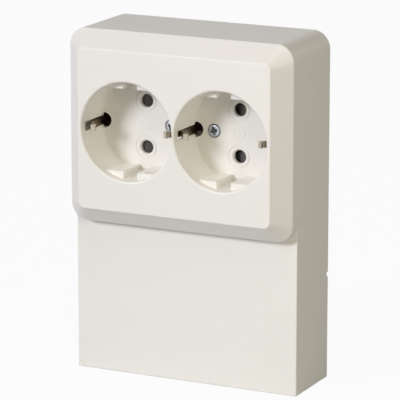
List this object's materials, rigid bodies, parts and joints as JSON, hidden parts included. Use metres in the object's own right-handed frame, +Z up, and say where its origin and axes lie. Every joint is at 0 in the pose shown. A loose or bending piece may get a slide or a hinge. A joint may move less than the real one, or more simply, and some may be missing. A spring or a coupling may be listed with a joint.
{
  "type": "double wall socket",
  "caption": "Surface-mounted double earthed wall socket: tall open-backed casing, chamfered cover with round plug recesses, sliding pin shutters, earth clips and wall plate.",
  "frame": {"origin": "middle of the back face that lies on the wall", "axes": "+X to the right seen from the front, +Y into the wall, +Z up"},
  "size_m": [0.098, 0.042, 0.1426],
  "materials": {
    "white_plastic": "satin gloss, warm white",
    "grey_plastic": "matte moulded",
    "brown_plastic": "matte brown phenolic",
    "shutter_plastic": "dark grey moulded",
    "spring_steel": "drawn",
    "zinc_steel": "bright zinc plating",
    "plated_bronze": "nickel-plated strip",
    "brass": "stamped strip"
  },
  "bodies": {
    "housing": {"casing": "white_plastic", "socket_cover": "white_plastic", "base_plate": "grey_plastic", "socket_base": "brown_plastic", "contact_cover": "brown_plastic", "shutter_spring_left": "spring_steel", "shutter_spring_right": "spring_steel", "cover_screw_left": "zinc_steel", "cover_screw_right": "zinc_steel", "base_screws": "zinc_steel", "terminal_screws": "zinc_steel", "clamp_plates": "zinc_steel", "earth_bow_left": "plated_bronze", "earth_bow_right": "plated_bronze", "earth_link": "plated_bronze", "earth_rivets": "brass", "line_rail": "brass", "neutral_rail": "brass"},
    "left_shutter": {"shutter_left": "shutter_plastic"},
    "right_shutter": {"shutter_right": "shutter_plastic"}
  },
  "joints": [
    {"name": "shutter_left_slide", "type": "slide", "parent": "housing", "child": "left_shutter", "axis": [-1, 0, 0], "range_m": [0, 0.0066], "stiffness_N_per_m": 60, "springref_m": -0.003, "deforming": ["shutter_spring_left"]},
    {"name": "shutter_right_slide", "type": "slide", "parent": "housing", "child": "right_shutter", "axis": [1, 0, 0], "range_m": [0, 0.0066], "stiffness_N_per_m": 60, "springref_m": -0.003, "deforming": ["shutter_spring_right"]}
  ]
}
